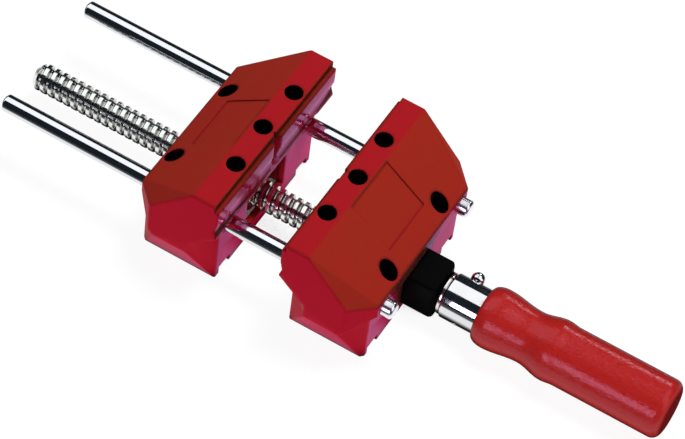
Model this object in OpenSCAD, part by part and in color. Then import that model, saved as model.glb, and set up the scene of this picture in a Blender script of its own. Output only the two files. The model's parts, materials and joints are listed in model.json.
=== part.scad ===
// Hobby vise: two hollow moulded jaws on a pair of round guide rods, drawn together by a
// screw spindle with a turned wooden handle. The jaw near the handle is fixed to the rods,
// the other jaw slides. +X runs along the spindle towards the handle, +Z is up from the
// bench, and the origin is on the bench under the middle of the overall length.

/* [Jaw housing] */
// Width of each jaw across the spindle
jaw_w = 95.4; // [86:0.2:130]
// Height of the jaw tops above the bench
jaw_h = 60; // [57:0.5:72]
// Depth of a jaw from its clamping face to the outer edge of its roof
jaw_d = 42.8; // [41:0.2:60]
// Thickness of the moulded walls
wall = 3; // [2:0.1:3.6]
// Depth of the flat strip along the top
flat_d = 11; // [10:0.2:13]
// Slope of the roof in degrees
roof_angle = 36.9; // [30:0.1:39]
// Length of the cut across each outer corner, along both walls
corner_cut = 10; // [4:0.2:12]
// Depth below the top where the hip meets the end wall
hip_drop = 21.5; // [19:0.1:23]

/* [Clamping face] */
// Clear opening between the two clamping faces as stored
opening = 30.9; // [5:0.1:90]
// Depth of the step along the upper edge of the clamping face
step_d = 1.7; // [0.8:0.1:2]
// Height of that step
step_h = 3.6; // [1:0.1:6]
// Height of the clamping face from the jaw top to its lower edge
lip_h = 21.5; // [21:0.1:23]
// Depth below the top where the level prism groove starts
groove_top = 12.4; // [8:0.1:12.4]
// Height of the level prism groove
groove_h = 8.8; // [4:0.1:8.8]
// Depth of the level prism groove
groove_d = 1.2; // [0.5:0.1:1.5]
// Width of the upright prism groove in the middle of the face
vee_w = 6; // [3:0.1:8]
// Depth of the upright prism groove
vee_d = 2.8; // [1:0.1:2.9]
// Slope of the overhang under the clamping face and under the roof edge, in degrees
under_angle = 42; // [36:0.5:46]

/* [Jaw base] */
// Inset of the lower inner wall behind the clamping face
base_in = 3.2; // [2:0.1:4]
// Inset of the lower outer wall behind the roof edge
base_out = 2.9; // [2:0.1:4]
// Height of the upright band under the roof edge
eave_h = 6.8; // [5:0.1:8]
// Length of the base's inner corner cuts along the end wall
base_cut_x = 10.4; // [6:0.1:12]
// Length of the base's inner corner cuts along the inner wall
base_cut_y = 8.8; // [6:0.1:10.8]
// Length of the base's outer corner cuts along both walls
base_cut_out = 9.8; // [6:0.1:10.4]
// Height of the bevel at the foot of each end wall
bevel_h = 19.5; // [10:0.5:22]
// How far that bevel draws the end wall in at the bench
bevel_in = 8.4; // [2:0.1:9]
// Distance of the notch beside each foot from the middle of the jaw
notch_y = 27.8; // [24:0.2:30]
// Width of that notch along the lower edge
notch_w = 8; // [2:0.1:8.4]
// Height of that notch above the bench
notch_h = 3.9; // [1:0.1:8]
// Width of the window in the inner wall that the spindle passes through
window_w = 31; // [20:0.5:31]
// Height of the lower edge of that window above the bench
window_low = 8; // [6:0.1:8.8]
// Height of the upper edge of that window above the bench
window_high = 27.5; // [24:0.1:28]

/* [Peg holes and label panel] */
// Diameter of the upright peg holes
peg_d = 8.2; // [5:0.1:8.6]
// Wall round each peg hole
peg_wall = 2; // [1.2:0.1:2.2]
// Distance of the inner row of holes behind the clamping face
peg_in = 6.8; // [6.6:0.1:7.6]
// Extra set-back of the middle hole of the inner row
peg_mid_back = 1.05; // [0.6:0.05:2]
// Half spacing of the outer two holes of the inner row
peg_y = 23.3; // [20:0.1:23.6]
// Length of the inner row's hole walls below the top
peg_depth = 20; // [12:0.5:20]
// Distance of the outer row of holes behind the clamping face
peg_out = 37.4; // [36:0.1:37.6]
// Half spacing of the outer row of holes
peg_out_y = 21.4; // [19:0.1:22]
// Depth of the outer row's hole floors below the jaw top
peg_out_depth = 28.5; // [25:0.1:28.6]
// Length of the sunk label panel down the roof slope
panel_l = 25; // [10:0.5:26]
// Width of the sunk label panel
panel_w = 29; // [15:0.5:31]
// Depth of the sunk label panel
panel_deep = 0.5; // [0.2:0.1:1]

/* [Guide rods] */
// Diameter of the guide rods
rod_d = 8; // [6:0.1:9]
// Length of the guide rods
rod_len = 195; // [175:0.2:240]
// Spacing of the two guide rods
rod_gap = 64; // [62:0.1:65]
// Height of the rod axes above the bench
rod_z = 32; // [31.4:0.1:33]
// How far the rods stand out past the roof edge of the fixed jaw
rod_out = 5.1; // [1:0.1:10]
// Chamfer at the rod ends
rod_chamfer = 0.8; // [0.3:0.1:1.5]
// Wall of the moulded tubes that carry the rods
tube_wall = 2.6; // [1.6:0.1:2.8]
// Length of each rod boss in the fixed jaw
rod_boss = 11; // [6:0.5:12]
// Outer diameter of the retaining rings on the rods
ring_d = 13; // [11:0.1:14]
// Thickness of the retaining rings
ring_t = 1.2; // [0.6:0.1:2]
// Depth of the ring grooves in the rods
ring_groove = 0.7; // [0.3:0.1:1]
// Room round the rod tubes under the clamping face
tube_room = 0.6; // [0.2:0.1:1.5]

/* [Spindle and nut] */
// Height of the spindle axis above the bench
spindle_z = 15.7; // [15:0.1:16]
// Outer diameter of the spindle thread
thread_d = 13; // [11:0.1:13.6]
// Length of the spindle from its free tip to its shoulder
thread_len = 183.9; // [165:0.1:230]
// Chamfer at the free tip of the spindle
tip_chamfer = 2.4; // [0.5:0.1:3]
// Diameter of the plain journal that turns in the bearing
journal_d = 10; // [8:0.1:10.6]
// Length of the journal from the shoulder into the handle
journal_len = 86; // [70:0.5:95]
// Outer diameter of the nut's collar
collar_d = 19; // [17:0.1:19.6]
// Length of the nut's collar
collar_l = 7; // [5:0.1:7.4]
// Width of the nut's flange
flange_w = 34; // [32:0.1:35]
// Height of the nut's flange
flange_h = 21; // [19.8:0.1:22]
// Thickness of the nut's flange
flange_t = 5; // [4:0.1:7]
// Spacing of the two nut screws
nut_screw_gap = 26.6; // [26:0.1:27]
// Thickness of the cross wall that carries the nut
bulkhead_t = 4; // [3:0.1:5]
// Distance of that cross wall behind the inner wall's outer face
bulkhead_back = 7; // [6.4:0.1:9]
// Room between the nut's flange and the ribs beside it
rib_room = 0.5; // [0.2:0.1:1]
// Thickness of the ribs that flank the spindle
rib_t = 2.4; // [1.6:0.1:3]

/* [Bearing block] */
// Width of the bearing block
block_w = 18.6; // [17.4:0.1:22]
// Height of the bearing block
block_h = 20; // [18.8:0.1:22]
// Length of the bearing block outside the fixed jaw
block_l = 15.2; // [10:0.1:20]
// Chamfer along the long edges of the bearing block
block_chamfer = 0.6; // [0.3:0.1:1]
// Chamfer of the block's two upright front edges
block_corner = 1.8; // [0.6:0.1:2.4]
// Diameter of the round collar on the block's front
block_collar_d = 18.6; // [14:0.1:18.6]
// Length of the round collar on the block's front
block_collar_l = 1.2; // [0.6:0.1:3]
// Diameter of the block's spigot through the jaw wall
spigot_d = 13.6; // [13:0.1:14]
// How far the spigot reaches past the inside of the jaw wall
spigot_in = 2.8; // [2.4:0.1:4]
// Spacing across the block of the four screws that hold it
block_screw_y = 13; // [12.8:0.1:13.6]
// Spacing up the block of those screws
block_screw_z = 14.2; // [14:0.1:15]

/* [Ferrule and handle] */
// Outer diameter of the two thrust washers
washer_d = 19.4; // [16:0.1:21]
// Thickness of the thrust washers
washer_t = 1.3; // [0.8:0.1:2.5]
// Outer diameter of the ferrule
ferrule_d = 21; // [18:0.1:21.6]
// Length of the ferrule outside the handle
ferrule_l = 16.8; // [12:0.1:22]
// Length of the ferrule inside the handle
ferrule_in = 9; // [4:0.5:14]
// Diameter of the cross pin through the ferrule
pin_d = 4; // [2.5:0.1:5]
// Diameter of the round head of the cross pin
pin_head_d = 5.8; // [5.2:0.1:7]
// Place of the cross pin along the ferrule, as a length from its free end
pin_along = 8; // [5:0.1:11]
// Turn of the cross pin about the spindle, from upright
pin_turn = 56; // [-90:1:90]
// Length of the handle
handle_l = 90; // [82:0.5:120]
// Diameter of the long grip of the handle
grip_d = 27; // [26:0.1:28]
// Diameter of the bell at the ferrule end of the handle
bell_d = 27.6; // [26:0.1:28.4]
// Diameter of the waist behind the bell
waist_d = 24; // [22:0.1:25.5]
// Diameter of the collar where the waist meets the grip
swell_d = 28.2; // [27:0.1:28.6]
// Length of the rounding from the handle's mouth to the bell
bell_l = 6; // [3:0.1:10]
// Width of the flat rim round the handle's mouth
mouth_rim = 0.6; // [0.2:0.1:1.4]
// Length from the ferrule end of the handle to the waist
waist_at = 22.5; // [18:0.1:26]
// Length from the ferrule end of the handle to the collar
swell_at = 34.6; // [30:0.1:40]
// Rounding of the handle's free end
handle_round = 4; // [1:0.1:8]

/* [Fits] */
// Running clearance on a radius between a turning or sliding part and its bore
run_fit = 0.08; // [0.03:0.01:0.1]
// Clearance on a radius between fixed parts
seat_fit = 0.04; // [0.02:0.01:0.1]
// Axial play of the spindle against each thrust washer
play = 0.12; // [0.05:0.01:0.3]
// Room for the bearing block under the fixed jaw's roof edge
block_room = 0.4; // [0.2:0.1:1]

/* [Hidden] */
$fn = 64;

// Past-the-surface length for cuts, and a size larger than any part
over = 1;
huge = 4 * jaw_w;

// Jaw sections, as lengths behind the clamping face and heights above the bench
flat_end = step_d + flat_d;
roof_drop = (jaw_d - flat_end) * tan(roof_angle);
lip_z = jaw_h - lip_h;
eave_z = jaw_h - roof_drop - eave_h;
under = tan(under_angle);
under_x = (lip_z - eave_z + jaw_d * under) / (2 * under);
base_top = lip_z - over;
base_back = jaw_d - base_out;
groove_mid = groove_top + groove_h / 2;
bevel_angle = atan(bevel_in / bevel_h);

// Screws: shank and head
screw_d = 3;
screw_head_d = 5.4;
screw_head_t = 2;
screw_grip = 6.4;

// Stations along the spindle, measured from the fixed jaw's clamping face
spigot_end = base_back - wall - spigot_in;
shoulder_x = spigot_end - washer_t - 2 * play;
block_end = base_back + block_l;
collar_end = block_end + block_collar_l;
washer_x = collar_end + play;
ferrule_x = washer_x + washer_t + play;
handle_x = ferrule_x + ferrule_l;
handle_end = handle_x + handle_l;
tip_x = shoulder_x - thread_len;
rod_end = jaw_d + rod_out;
bulkhead_x = base_in + bulkhead_back;
flange_x = bulkhead_x + bulkhead_t + seat_fit;
rib_y = flange_w / 2 + rib_room;

// Places of the clamping faces along X
face_x = -(handle_end + tip_x) / 2;
rear_face_x = face_x - opening;

// Colours
red = "#a81c22";
steel = "#c9cbd0";
zinc = "#b9c0c4";
black = "#1c1c1e";
lacquer = "#b3202a";

// Put children at a place along the fixed jaw's spindle axis, with their own Z turned to +X
module on_axis(x) translate([face_x + x, 0, spindle_z]) rotate([0, 90, 0]) children();

// Fixed jaw frame: x from its clamping face outwards
module at_front() translate([face_x, 0, 0]) children();

// Sliding jaw frame: the mirror image
module at_rear() translate([rear_face_x, 0, 0]) mirror([1, 0, 0]) children();

// Copies on both sides of the middle plane
module both_sides() {
    children();
    mirror([0, 1, 0]) children();
}

// Plan outline with cut corners: x0 and x1 are the walls, w the half width, inset moves all
// edges inwards; legs of the cuts are [along x, along y] at the inner and the outer corners
function leg(c, inset) = let (l = norm(c)) [
    c[0] + inset * ((l - c[0]) / c[1] - 1),
    c[1] + inset * ((l - c[1]) / c[0] - 1)
];

module cut_plan(x0, x1, w, inner, outer, inset) {
    a = leg(inner, inset);
    b = leg(outer, inset);
    xa = x0 + inset;
    xb = x1 - inset;
    y = w - inset;
    polygon([
        [xa, -y + a[1]], [xa + a[0], -y], [xb - b[0], -y], [xb, -y + b[1]],
        [xb, y - b[1]], [xb - b[0], y], [xa + a[0], y], [xa, y - a[1]]
    ]);
}

// Upright extrusion along Y of a side outline drawn in x and z
module along_y(w) translate([0, w, 0]) rotate([90, 0, 0]) linear_extrude(2 * w) children();

// Side outline of the upper housing, with the step and the level groove when inset is zero
module cap_side(inset) {
    lift = inset / cos(under_angle);
    face = inset == 0
        ? [
            [0, jaw_h - groove_top - groove_h], [groove_d, jaw_h - groove_mid], [0, jaw_h - groove_top],
            [0, jaw_h - step_h], [step_d, jaw_h - step_h], [step_d, jaw_h]
        ]
        : [[inset, jaw_h - inset]];
    polygon(concat(
        [[under_x, lip_z - under_x * under + lift], [inset, lip_z - inset * under + lift]],
        face,
        [
            [flat_end - inset * tan(roof_angle / 2), jaw_h - inset],
            [
                jaw_d - inset,
                jaw_h - roof_drop + inset * tan(roof_angle) - inset / cos(roof_angle)
            ],
            [jaw_d - inset, eave_z - inset * under + lift]
        ]
    ));
}

// Half space beyond the hip plane at the far end; the plane holds the flat's end corner, the
// hip's lower corner on the end wall and the corner of the roof edge
module hip_cut(inset) {
    top_corner = [flat_end, jaw_w / 2, jaw_h];
    to_end = [jaw_d - corner_cut - flat_end, 0, -hip_drop];
    to_roof = [jaw_d - flat_end, -corner_cut, -roof_drop];
    n = cross(to_end, to_roof) * -1;
    translate(top_corner)
        rotate([0, acos(n[2] / norm(n)), atan2(n[1], n[0])])
            translate([-huge, -huge, -inset])
                cube([2 * huge, 2 * huge, huge]);
}

// Outer form of a jaw; inset gives the same form drawn in by a wall thickness, open below
module jaw_form(inset) {
    bottom = inset == 0 ? 0 : -over;
    y_end = jaw_w / 2 - inset / cos(bevel_angle) - (bevel_h - bottom) * tan(bevel_angle);
    y_wall = jaw_w / 2 - inset;
    z_knee = bevel_h + inset * tan(bevel_angle / 2);
    difference() {
        intersection() {
            union() {
                intersection() {
                    along_y(jaw_w / 2 - inset) cap_side(inset);
                    linear_extrude(jaw_h + over)
                        cut_plan(
                            -2 * over, jaw_d, jaw_w / 2,
                            [over, over], [corner_cut, corner_cut], inset
                        );
                }
                translate([0, 0, bottom])
                    linear_extrude(base_top - bottom)
                        cut_plan(
                            base_in, base_back, jaw_w / 2,
                            [base_cut_x, base_cut_y], [base_cut_out, base_cut_out], inset
                        );
            }
            rotate([90, 0, 90])
                linear_extrude(jaw_d)
                    polygon([
                        [-y_end, bottom], [y_end, bottom], [y_wall, z_knee], [y_wall, jaw_h],
                        [-y_wall, jaw_h], [-y_wall, z_knee]
                    ]);
        }
        both_sides() hip_cut(inset);
    }
}

// Places of the peg holes of one jaw as [x, y, height of the hole's lower end]
peg_places = [
    [peg_in, -peg_y, jaw_h - peg_depth],
    [peg_in + peg_mid_back, 0, jaw_h - peg_depth],
    [peg_in, peg_y, jaw_h - peg_depth],
    [peg_out, -peg_out_y, jaw_h - peg_out_depth],
    [peg_out, peg_out_y, jaw_h - peg_out_depth]
];

// A bar along X at the far rod's place
module rod_bar(x, l, r) translate([x, rod_gap / 2, rod_z]) rotate([0, 90, 0]) cylinder(r = r, h = l);

// Hollow housing shared by both jaws; children are the moulded bosses of that jaw
module jaw_housing() {
    tube_r = rod_d / 2 + tube_wall;
    difference() {
        union() {
            difference() {
                jaw_form(0);
                jaw_form(wall);
            }
            intersection() {
                jaw_form(0);
                union() {
                    // Tubes round the peg holes, closed below where they end in the roof edge
                    for (p = peg_places)
                        translate([p[0], p[1], p[2] - (p[0] == peg_out ? peg_wall : 0)])
                            cylinder(d = peg_d + 2 * peg_wall, h = jaw_h);
                    // Two ribs that flank the spindle
                    both_sides()
                        translate([base_in, rib_y, notch_h])
                            cube([base_back - base_in, rib_t, jaw_h]);
                    children();
                }
            }
        }
        for (p = peg_places)
            translate(p) cylinder(d = peg_d, h = jaw_h);
        // Upright prism groove
        translate([0, 0, lip_z - over - under * vee_d])
            linear_extrude(jaw_h)
                polygon([
                    [-over, -vee_w / 2], [0, -vee_w / 2], [vee_d, 0],
                    [0, vee_w / 2], [-over, vee_w / 2]
                ]);
        // Room above each rod under the clamping face
        both_sides() rod_bar(-over, base_in + over, tube_r + tube_room);
        // Notches beside the feet
        both_sides()
            translate([-over, notch_y, -over])
                cube([jaw_d + 2 * over, notch_w, notch_h + over]);
        // Window for the spindle
        translate([base_in - over, -window_w / 2, window_low])
            cube([wall + 2 * over, window_w, window_high - window_low]);
        // Sunk panel on the roof
        translate([flat_end, 0, jaw_h])
            rotate([0, roof_angle, 0])
                translate([panel_deep * 2, -panel_w / 2, -panel_deep])
                    cube([panel_l, panel_w, 2 * panel_deep]);
    }
}

module screw_holes(gap_y, gap_z, x, l) {
    for (y = [-1, 1] * gap_y / 2, z = gap_z == 0 ? [0] : [-1, 1] * gap_z / 2)
        translate([x, y, spindle_z + z]) rotate([0, 90, 0]) cylinder(d = screw_d + 2 * seat_fit, h = l);
}

// Screws with flat heads at the low x end; x is the underside of the heads
module screws(gap_y, gap_z, x, l) {
    for (y = [-1, 1] * gap_y / 2, z = gap_z == 0 ? [0] : [-1, 1] * gap_z / 2)
        translate([x, y, spindle_z + z]) rotate([0, 90, 0]) {
            cylinder(d = screw_d, h = l);
            translate([0, 0, -screw_head_t]) cylinder(d = screw_head_d, h = screw_head_t + seat_fit);
        }
}

// Fixed jaw: carries the rods in short bosses and the bearing block in its outer wall
module front_jaw() color(red) at_front() difference() {
    jaw_housing() {
        both_sides() {
            rod_bar(0, base_in + rod_boss, rod_d / 2 + tube_wall);
            rod_bar(base_back - rod_boss, rod_boss + base_out, rod_d / 2 + tube_wall);
        }
    }
    both_sides() rod_bar(-over, jaw_d + 2 * over, rod_d / 2 + seat_fit);
    translate([base_back - wall - over, 0, spindle_z])
        rotate([0, 90, 0])
            cylinder(d = spigot_d + 2 * seat_fit, h = wall + 2 * over);
    screw_holes(block_screw_y, block_screw_z, base_back - wall - over, wall + 2 * over);
    // Room for the bearing block
    translate([base_back, -block_w / 2 - block_room, spindle_z - block_h / 2 - block_room])
        cube([block_l, block_w + 2 * block_room, block_h + 2 * block_room]);
}

// Sliding jaw: runs on the rods in long tubes and carries the nut on a cross wall
module rear_jaw() color(red) at_rear() difference() {
    jaw_housing() {
        both_sides() rod_bar(0, jaw_d, rod_d / 2 + tube_wall);
        translate([bulkhead_x, -rib_y - rib_t / 2, notch_h])
            cube([bulkhead_t, 2 * rib_y + rib_t, lip_z - notch_h]);
    }
    both_sides() rod_bar(-over, jaw_d + 2 * over, rod_d / 2 + run_fit);
    translate([bulkhead_x - over, 0, spindle_z])
        rotate([0, 90, 0])
            cylinder(d = collar_d + 2 * seat_fit, h = bulkhead_t + 2 * over);
    translate([base_back - wall - over, 0, spindle_z])
        rotate([0, 90, 0])
            cylinder(d = thread_d + 2 * base_out, h = wall + base_out + 2 * over);
    screw_holes(nut_screw_gap, 0, bulkhead_x - over, bulkhead_t + 2 * over);
}

// Ring stations along a rod: against the inner faces of the fixed jaw's two bosses
ring_places = [base_in + rod_boss + seat_fit, base_back - rod_boss - seat_fit - ring_t];

module guide_rod(side) color(steel) translate([face_x, side * rod_gap / 2, rod_z]) {
    rotate([0, 90, 0]) rotate_extrude() {
        r = rod_d / 2;
        a = rod_end - rod_len;
        g = r - ring_groove;
        polygon(concat(
            [[0, a], [r - rod_chamfer, a], [r, a + rod_chamfer]],
            [for (x = ring_places) each [[r, x], [g, x], [g, x + ring_t], [r, x + ring_t]]],
            [[r, rod_end - rod_chamfer], [r - rod_chamfer, rod_end], [0, rod_end]]
        ));
    }
}

module guide_rod_near() guide_rod(-1);
module guide_rod_far() guide_rod(1);

// Two open spring rings that snap into the grooves of one rod
module rod_rings(side) color(zinc) {
    inner = rod_d - 2 * ring_groove + 2 * seat_fit;
    mouth = inner * 0.8;
    for (x = ring_places)
        translate([face_x + x + seat_fit / 2, side * rod_gap / 2, rod_z])
            rotate([0, 90, 0])
                linear_extrude(ring_t - seat_fit)
                    difference() {
                        circle(d = ring_d);
                        circle(d = inner);
                        translate([0, -mouth / 2]) square([ring_d, mouth]);
                    }
}

module rod_rings_near() rod_rings(-1);
module rod_rings_far() rod_rings(1);

// Moulded bearing block: a spigot through the jaw wall, a chamfered body and a round collar
module bearing_block() color(black) translate([face_x, 0, spindle_z]) difference() {
    c = block_chamfer;
    v = block_corner;
    union() {
        intersection() {
            translate([base_back, 0, 0])
                rotate([90, 0, 90])
                    linear_extrude(block_l)
                        cut_plan(-block_w / 2, block_w / 2, block_h / 2, [c, c], [c, c], 0);
            translate([0, 0, -block_h / 2])
                linear_extrude(block_h)
                    cut_plan(base_back - 2 * v, block_end, block_w / 2, [v, v], [v, v], 0);
            along_y(block_w / 2)
                cut_plan(base_back - 2 * c, block_end, block_h / 2, [c, c], [c, c], 0);
        }
        translate([spigot_end, 0, 0])
            rotate([0, 90, 0])
                cylinder(d = spigot_d, h = wall + spigot_in + over);
        translate([block_end - over, 0, 0])
            rotate([0, 90, 0])
                cylinder(d = block_collar_d, h = block_collar_l + over);
    }
    translate([spigot_end - over, 0, 0])
        rotate([0, 90, 0])
            cylinder(d = journal_d + 2 * run_fit, h = collar_end - spigot_end + 2 * over);
    translate([0, 0, -spindle_z])
        screw_holes(block_screw_y, block_screw_z, base_back - over, screw_grip + over);
}

module bearing_screws() color(zinc) at_front()
    screws(block_screw_y, block_screw_z, base_back - wall - seat_fit, wall + screw_grip - over);

// Flat round washer on the journal
module washer(x) color(zinc) on_axis(x) difference() {
    cylinder(d = washer_d, h = washer_t);
    translate([0, 0, -over]) cylinder(d = journal_d + 2 * seat_fit, h = washer_t + 2 * over);
}

module inner_washer() washer(shoulder_x + play);
module thrust_washer() washer(washer_x);

// Cross hole through the journal and the ferrule
module pin_hole(d) on_axis(ferrule_x + pin_along)
    rotate([0, 0, 180 - pin_turn]) rotate([0, 90, 0]) cylinder(d = d, h = 2 * ferrule_d, center = true);

// Screw spindle: the thread's envelope, a shoulder and a plain journal
module spindle() color(zinc) difference() {
    on_axis(0) rotate_extrude()
        polygon([
            [0, tip_x], [thread_d / 2 - tip_chamfer, tip_x], [thread_d / 2, tip_x + tip_chamfer],
            [thread_d / 2, shoulder_x], [journal_d / 2, shoulder_x],
            [journal_d / 2, shoulder_x + journal_len], [0, shoulder_x + journal_len]
        ]);
    pin_hole(pin_d + 2 * seat_fit);
}

// Ferrule: a turned sleeve that joins the journal to the handle
module ferrule() color(steel) difference() {
    on_axis(ferrule_x) rotate_extrude() {
        r = ferrule_d / 2;
        bore = journal_d / 2 + seat_fit;
        end = ferrule_l + ferrule_in;
        polygon([[bore, 0], [r - rod_chamfer, 0], [r, rod_chamfer], [r, end], [bore, end]]);
    }
    pin_hole(pin_d + 2 * seat_fit);
}

// Cross pin: a round head on one side of the ferrule, flush on the other
module ferrule_pin() color(steel) on_axis(ferrule_x + pin_along)
    rotate([0, 0, 180 - pin_turn]) rotate([0, 90, 0]) {
        reach = ferrule_d / 2;
        translate([0, 0, -reach]) cylinder(d = pin_d, h = 2 * reach);
        difference() {
            translate([0, 0, reach]) sphere(d = pin_head_d);
            rotate([0, 90, 0])
                cylinder(d = ferrule_d + 2 * seat_fit, h = 2 * pin_head_d, center = true);
        }
    }

// Smooth change of radius between two stations of the handle, as points [radius, station]
profile_steps = 8;
function ease(t) = (1 - cos(180 * t)) / 2;
function sweep(x0, r0, x1, r1) = [
    for (i = [1:profile_steps])
        let (t = i / profile_steps)
            [r0 + (r1 - r0) * ease(t), x0 + (x1 - x0) * t]
];

// Quarter round from radius r0 at station x0 outwards by dr and onwards by dx
function bulge(r0, x0, dr, dx) = [
    for (i = [1:profile_steps])
        let (a = 90 * i / profile_steps)
            [r0 + dr * sin(a), x0 + dx * (1 - cos(a))]
];

// Quarter round down to the free end
function nose(r1, x1, radius) = [
    for (i = [0:profile_steps])
        let (a = 90 * i / profile_steps)
            [r1 - radius * (1 - cos(a)), x1 - radius * (1 - sin(a))]
];

// Turned handle: a bell at the ferrule, a waist, a collar and a long plain grip
module handle() {
    mouth = ferrule_d / 2 + seat_fit;
    rim = mouth + mouth_rim;
    tang = journal_d / 2 + seat_fit;
    tang_end = shoulder_x + journal_len - handle_x + over;
    seat = ferrule_in + seat_fit;
    profile = concat(
        [[tang, seat], [mouth, seat], [mouth, 0], [rim, 0]],
        bulge(rim, 0, bell_d / 2 - rim, bell_l),
        sweep(bell_l, bell_d / 2, waist_at, waist_d / 2),
        sweep(waist_at, waist_d / 2, swell_at, swell_d / 2),
        sweep(swell_at, swell_d / 2, swell_at + bell_l, grip_d / 2),
        nose(grip_d / 2, handle_l, handle_round),
        [[0, handle_l], [0, tang_end], [tang, tang_end]]
    );
    color(lacquer) on_axis(handle_x) rotate_extrude() polygon(profile);
}

// Flanged nut: its collar passes through the cross wall, its flange bears on the wall's back
module spindle_nut() color(steel) at_rear() difference() {
    union() {
        translate([flange_x, -flange_w / 2, spindle_z - flange_h / 2])
            cube([flange_t, flange_w, flange_h]);
        translate([flange_x - collar_l, 0, spindle_z])
            rotate([0, 90, 0])
                cylinder(d = collar_d, h = collar_l + over);
    }
    translate([flange_x - collar_l - over, 0, spindle_z])
        rotate([0, 90, 0])
            cylinder(d = thread_d + 2 * run_fit, h = collar_l + flange_t + 2 * over);
    screw_holes(nut_screw_gap, 0, flange_x - over, flange_t + 2 * over);
}

// Screws through the cross wall into the nut's flange
module nut_screws() color(zinc) at_rear()
    screws(nut_screw_gap, 0, bulkhead_x - seat_fit, bulkhead_t + flange_t);

front_jaw();
rear_jaw();
guide_rod_near();
guide_rod_far();
rod_rings_near();
rod_rings_far();
bearing_block();
bearing_screws();
inner_washer();
thrust_washer();
spindle();
ferrule();
ferrule_pin();
handle();
spindle_nut();
nut_screws();
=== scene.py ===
"""Looks of a hobby vise: two red moulded jaws on bright guide rods, a screw spindle and a handle.

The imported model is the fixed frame. Every piece is made in metres in that frame, stands for the
node whose shape it refines, and rides on that node's body. Sizes in the classes are millimetres.
"""

import json
import logging
import math
from dataclasses import dataclass
from enum import Enum
from functools import partial
from typing import Callable, Sequence

import bmesh
import bpy
from mathutils import Euler, Matrix, Vector


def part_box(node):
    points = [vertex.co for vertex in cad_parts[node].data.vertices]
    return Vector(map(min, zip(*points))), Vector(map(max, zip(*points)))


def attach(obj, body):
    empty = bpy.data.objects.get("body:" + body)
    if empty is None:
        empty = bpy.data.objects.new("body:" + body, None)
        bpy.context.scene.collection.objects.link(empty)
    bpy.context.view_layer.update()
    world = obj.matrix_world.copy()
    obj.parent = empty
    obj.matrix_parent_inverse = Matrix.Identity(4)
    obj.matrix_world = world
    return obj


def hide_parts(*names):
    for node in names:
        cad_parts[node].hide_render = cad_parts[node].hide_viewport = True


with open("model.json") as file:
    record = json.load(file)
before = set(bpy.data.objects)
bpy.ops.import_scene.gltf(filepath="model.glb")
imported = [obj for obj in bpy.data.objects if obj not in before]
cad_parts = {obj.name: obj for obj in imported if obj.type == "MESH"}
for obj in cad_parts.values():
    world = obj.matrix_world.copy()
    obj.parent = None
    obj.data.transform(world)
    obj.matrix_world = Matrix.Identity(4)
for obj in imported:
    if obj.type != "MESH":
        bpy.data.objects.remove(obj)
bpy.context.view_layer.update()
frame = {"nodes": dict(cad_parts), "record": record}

LOG = logging.getLogger("hobby_vise")
MM = 0.001
MERGE = 2e-6
FULL_TURN = 2 * math.pi
# A turned end closes with one small flat face of this radius in millimetres
CORE = 0.4
# Points closer to a thread's ends than this part of its length shrink to the axis
POLE = 1e-5
# Part of the wave along a thread's pitch that rises from root to crest
RIDGE_WAVE = (-0.85, 0.3)
# Share of a side that one rounding of a profile may take
SIDE_SHARE = 0.45
# Edges of a solid: faces that count as one, sharp edges, and the short edges of round rims
FLAT, SHARP, RIM_SHARP = math.radians(0.3), math.radians(14), math.radians(40)
RIM_EDGE = 1.2 * MM
# Room that a rounded edge needs beside it, in widths of the rounding
EDGE_ROOM = 2.2
# Types of node that are used most, and the soft step of a range
MATH, RANGE, MIX = "ShaderNodeMath", "ShaderNodeMapRange", "ShaderNodeMix"
NOISE, SPLIT, SURFACE = "ShaderNodeTexNoise", "ShaderNodeSeparateXYZ", "ShaderNodeOutputMaterial"
SOFT = {"interpolation_type": "SMOOTHSTEP"}

Colour = tuple[float, float, float, float]
Limits = tuple[float, float]
Profile = list[tuple[float, float]]
Node = bpy.types.Node
Socket = bpy.types.NodeSocket
NodeMaker = Callable[..., Node]


class Body(Enum):
    """Bodies of the frame that pieces ride on."""

    BASE = "base"
    MOVING_JAW = "moving_jaw"
    SCREW = "screw"


class Slot(Enum):
    """Finishes as the record names them."""

    JAW = "jaw_red"
    ROD = "rod_chrome"
    RING = "spring_steel"
    BLOCK = "block_black"
    ZINC = "zinc_steel"
    FERRULE = "ferrule_chrome"
    HANDLE = "handle_lacquer"


def linear(hex_colour: str) -> Colour:
    """Turn an sRGB colour into linear light.

    Args:
        hex_colour: colour as "#rrggbb".

    Returns:
        Linear red, green and blue, and an alpha of one.
    """
    parts = [int(hex_colour[i:i + 2], 16) / 255 for i in (1, 3, 5)]
    light = [c / 12.92 if c <= 0.04045 else ((c + 0.055) / 1.055) ** 2.4 for c in parts]
    return light[0], light[1], light[2], 1.0


def grey(level: float) -> Colour:
    """Even grey of a linear level."""
    return level, level, level, 1.0


def per_metre(*millimetres: float) -> tuple[float, ...]:
    """Pattern scale for features of these sizes in millimetres."""
    return tuple(1 / (size * MM) for size in millimetres)


def metres(limits: Limits) -> Limits:
    """Limits in millimetres turned into metres."""
    return limits[0] * MM, limits[1] * MM


def add_node(tree: bpy.types.NodeTree, kind: str, feeds: dict | Sequence = (),
             **settings: object) -> Node:
    """Add one node with its settings, input values and links.

    Args:
        tree: tree that gets the node.
        kind: type name of the node.
        feeds: a value, an output or a node for each input, in order, or by name or number; a
            node stands for its first output.
        settings: properties of the node.

    Returns:
        The new node.
    """
    new = tree.nodes.new(kind)
    for key, value in settings.items():
        setattr(new, key, value)
    for key, value in feeds.items() if isinstance(feeds, dict) else enumerate(feeds):
        source = value.outputs[0] if isinstance(value, Node) else value
        if isinstance(source, Socket):
            tree.links.new(source, new.inputs[key])
        else:
            new.inputs[key].default_value = source
    return new


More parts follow.
